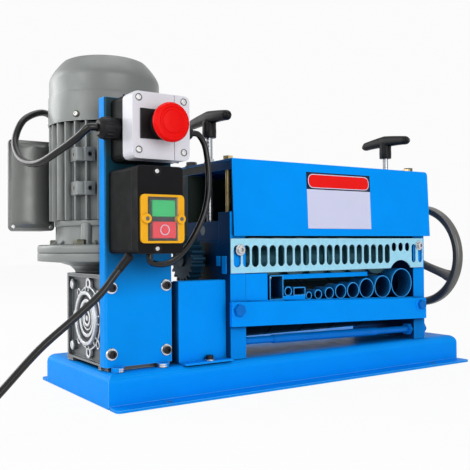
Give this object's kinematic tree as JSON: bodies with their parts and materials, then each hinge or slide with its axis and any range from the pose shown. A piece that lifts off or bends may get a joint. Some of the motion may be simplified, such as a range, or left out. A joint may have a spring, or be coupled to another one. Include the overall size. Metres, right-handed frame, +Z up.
{
  "type": "wire stripping machine",
  "caption": "Bench wire stripping machine: a geared motor turns stacked rollers and knives behind a slotted comb and feed tubes, with T handles, a handwheel, switches and a mains lead.",
  "frame": {"origin": "on the bench plane under the middle of the machine, measured without the free mains lead", "axes": "+Z up, +X along the machine from the motor to the handwheel, -Y towards the user who feeds the cable"},
  "size_m": [0.938, 0.3056, 0.3973],
  "materials": {
    "blue_paint": "gloss azure blue paint",
    "cast_aluminium": "rough casting",
    "motor_paint": "grey silver paint",
    "machined_steel": "turned",
    "zinc_sheet": "pale galvanised sheet",
    "wheel_casting": "dark satin",
    "bronze": "satin",
    "black_plastic": "satin",
    "grey_plastic": "fine grain",
    "red_plastic": "gloss",
    "green_plastic": "gloss",
    "yellow_plastic": "satin",
    "clear_membrane": "clear soft membrane",
    "cable_rubber": "satin"
  },
  "bodies": {
    "frame": {"base_pan": "blue_paint", "column_bracket": "blue_paint", "comb_plate": "zinc_sheet", "cord_coil": "cable_rubber", "cord_tail": "cable_rubber", "estop_box_base": "grey_plastic", "estop_box_lid": "grey_plastic", "estop_gland_left": "black_plastic", "estop_gland_right": "black_plastic", "estop_plate": "black_plastic", "front_beam": "blue_paint", "gear_cover": "blue_paint", "gearbox_flange": "motor_paint", "gearbox_housing": "cast_aluminium", "gearbox_side_cover": "cast_aluminium", "hood": "blue_paint", "left_frame_plate": "blue_paint", "mains_bush": "black_plastic", "mains_cord": "cable_rubber", "motor_body": "motor_paint", "motor_end_shield": "motor_paint", "motor_fan_cowl": "motor_paint", "motor_link_cable": "cable_rubber", "plug": "black_plastic", "right_frame_plate": "blue_paint", "switch_box_body": "black_plastic", "switch_box_cover": "black_plastic", "switch_clear_cover": "clear_membrane", "switch_frame": "yellow_plastic", "switch_link_cable": "cable_rubber", "switch_module": "black_plastic", "terminal_box": "motor_paint", "terminal_box_lid": "motor_paint", "tie_rod": "machined_steel", "top_bolt_left": "machined_steel", "top_bolt_right": "machined_steel", "top_plate": "blue_paint", "tube_guide": "blue_paint"},
    "drive": {"lower_roller_shaft": "machined_steel", "lower_roller": "machined_steel", "lower_gear": "machined_steel", "worm_wheel": "bronze"},
    "cutter": {"cutter_shaft": "machined_steel", "cutter_discs": "machined_steel", "cutter_gear": "machined_steel", "handwheel": "wheel_casting"},
    "rotor": {"motor_rotor": "machined_steel", "motor_fan": "black_plastic", "worm": "machined_steel"},
    "carriage": {"bearing_block_left": "machined_steel", "bearing_block_right": "machined_steel"},
    "press_roll": {"pressure_roller": "machined_steel"},
    "screw_left": {"pressure_screw_left": "machined_steel", "t_handle_left": "black_plastic"},
    "screw_right": {"pressure_screw_right": "machined_steel", "t_handle_right": "black_plastic"},
    "plunger": {"estop_plunger": "black_plastic"},
    "stop_head": {"estop_button": "red_plastic"},
    "start_key": {"start_button": "green_plastic"},
    "stop_key": {"stop_button": "red_plastic"}
  },
  "joints": [
    {"name": "drive_spin", "type": "hinge", "parent": "frame", "child": "drive", "pos_m": [-0.03415, -0.01676, 0.0909], "axis": [1, 0, 0], "continuous": true},
    {"name": "cutter_spin", "type": "hinge", "parent": "frame", "child": "cutter", "pos_m": [0.02585, -0.01676, 0.15465], "axis": [1, 0, 0], "continuous": true},
    {"name": "rotor_spin", "type": "hinge", "parent": "frame", "child": "rotor", "pos_m": [-0.20755, 0.02324, 0.25], "axis": [0, 0, 1], "continuous": true},
    {"name": "pressure_lift", "type": "slide", "parent": "frame", "child": "carriage", "axis": [0, 0, 1], "range_m": [0, 0.008]},
    {"name": "press_roll_spin", "type": "hinge", "parent": "carriage", "child": "press_roll", "pos_m": [0.07585, -0.01676, 0.19125], "axis": [1, 0, 0], "continuous": true},
    {"name": "screw_left_turn", "type": "hinge", "parent": "carriage", "child": "screw_left", "pos_m": [-0.08265, -0.01676, 0.28], "axis": [0, 0, 1], "range_deg": [0, 1920]},
    {"name": "screw_right_turn", "type": "hinge", "parent": "carriage", "child": "screw_right", "pos_m": [0.23085, -0.01676, 0.28], "axis": [0, 0, 1], "range_deg": [0, 1920]},
    {"name": "emergency_press", "type": "slide", "parent": "frame", "child": "plunger", "axis": [0, 1, 0], "range_m": [0, 0.005]},
    {"name": "emergency_twist", "type": "hinge", "parent": "plunger", "child": "stop_head", "pos_m": [-0.20715, -0.14476, 0.2988], "axis": [0, -1, 0], "range_deg": [-40, 0], "stiffness_Nm_per_rad": 0.05},
    {"name": "start_press", "type": "slide", "parent": "frame", "child": "start_key", "axis": [0, 1, 0], "range_m": [0, 0.003], "stiffness_N_per_m": 600, "springref_m": -0.002},
    {"name": "stop_press", "type": "slide", "parent": "frame", "child": "stop_key", "axis": [0, 1, 0], "range_m": [0, 0.003], "stiffness_N_per_m": 600, "springref_m": -0.002}
  ],
  "couplings": [
    {"joint": "cutter_spin", "follows": "drive_spin", "ratio": -1.4286},
    {"joint": "rotor_spin", "follows": "drive_spin", "ratio": 30},
    {"joint": "screw_left_turn", "follows": "pressure_lift", "rad_per_m": 4188.8},
    {"joint": "screw_right_turn", "follows": "pressure_lift", "rad_per_m": 4188.8}
  ]
}
